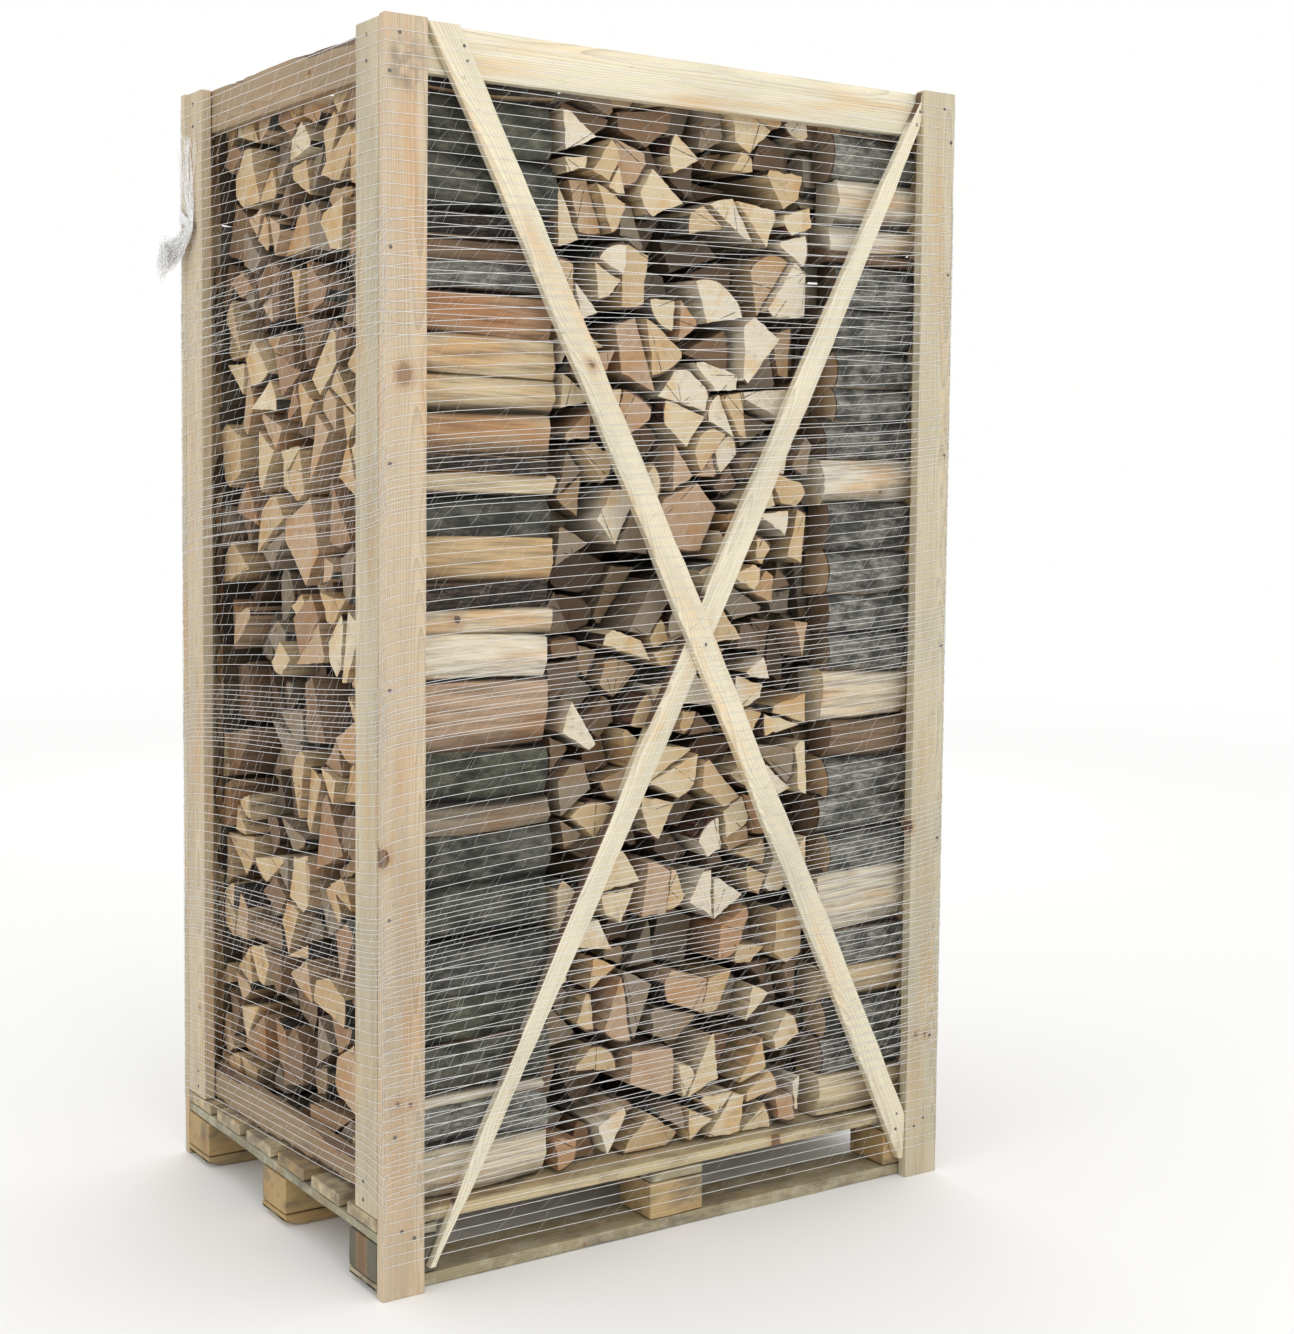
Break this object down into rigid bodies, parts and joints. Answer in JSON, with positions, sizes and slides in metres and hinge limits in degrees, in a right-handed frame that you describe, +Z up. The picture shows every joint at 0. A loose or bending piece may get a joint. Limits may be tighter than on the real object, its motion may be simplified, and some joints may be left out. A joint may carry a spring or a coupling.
{
  "type": "firewood crate",
  "caption": "Tall open timber crate of stacked split firewood on a low pallet, with crossed bracing laths on two faces, wrapped in netting.",
  "frame": {"origin": "on the floor, at the centre of the crate, on the underside of the middle skid", "axes": "+X along the front to its right-hand post, +Y from the front to the back, +Z up"},
  "size_m": [1.2097, 0.8614, 1.9999],
  "materials": {
    "sawn_board": "rough-sawn pale softwood with knots",
    "pallet_wood": "weathered rough-sawn softwood",
    "firewood": "split hardwood with bark",
    "nail_steel": "dull wire nails",
    "netting": "thin knitted plastic thread"
  },
  "bodies": {
    "root": {"block_back_left": "pallet_wood", "block_back_middle": "pallet_wood", "block_back_right": "pallet_wood", "block_front_left": "pallet_wood", "block_front_middle": "pallet_wood", "block_front_right": "pallet_wood", "block_middle_left": "pallet_wood", "block_middle_middle": "pallet_wood", "block_middle_right": "pallet_wood", "bottom_rail_left": "sawn_board", "bottom_rail_right": "sawn_board", "brace_back_inner": "sawn_board", "brace_back_outer": "sawn_board", "brace_front_inner": "sawn_board", "brace_front_outer": "sawn_board", "deck_board_1": "pallet_wood", "deck_board_2": "pallet_wood", "deck_board_3": "pallet_wood", "deck_board_4": "pallet_wood", "deck_board_5": "pallet_wood", "deck_board_6": "pallet_wood", "logs_centre_back_low": "firewood", "logs_centre_back_middle": "firewood", "logs_centre_back_top": "firewood", "logs_centre_core_low": "firewood", "logs_centre_core_middle": "firewood", "logs_centre_core_top": "firewood", "logs_centre_front_low": "firewood", "logs_centre_front_middle": "firewood", "logs_centre_front_top": "firewood", "logs_left_low": "firewood", "logs_left_middle": "firewood", "logs_left_top": "firewood", "logs_right_low": "firewood", "logs_right_middle": "firewood", "logs_right_top": "firewood", "net_tail": "netting", "net_wrap": "netting", "post_back_left_face_board": "sawn_board", "post_back_left_side_board": "sawn_board", "post_back_right_face_board": "sawn_board", "post_back_right_side_board": "sawn_board", "post_front_left_face_board": "sawn_board", "post_front_left_side_board": "sawn_board", "post_front_right_face_board": "sawn_board", "post_front_right_side_board": "sawn_board", "skid_back": "pallet_wood", "skid_front": "pallet_wood", "skid_middle": "pallet_wood", "stringer_left": "pallet_wood", "stringer_middle": "pallet_wood", "stringer_right": "pallet_wood", "top_rail_back": "sawn_board", "top_rail_front": "sawn_board", "top_rail_left": "sawn_board", "top_rail_right": "sawn_board"}
  },
  "joints": []
}
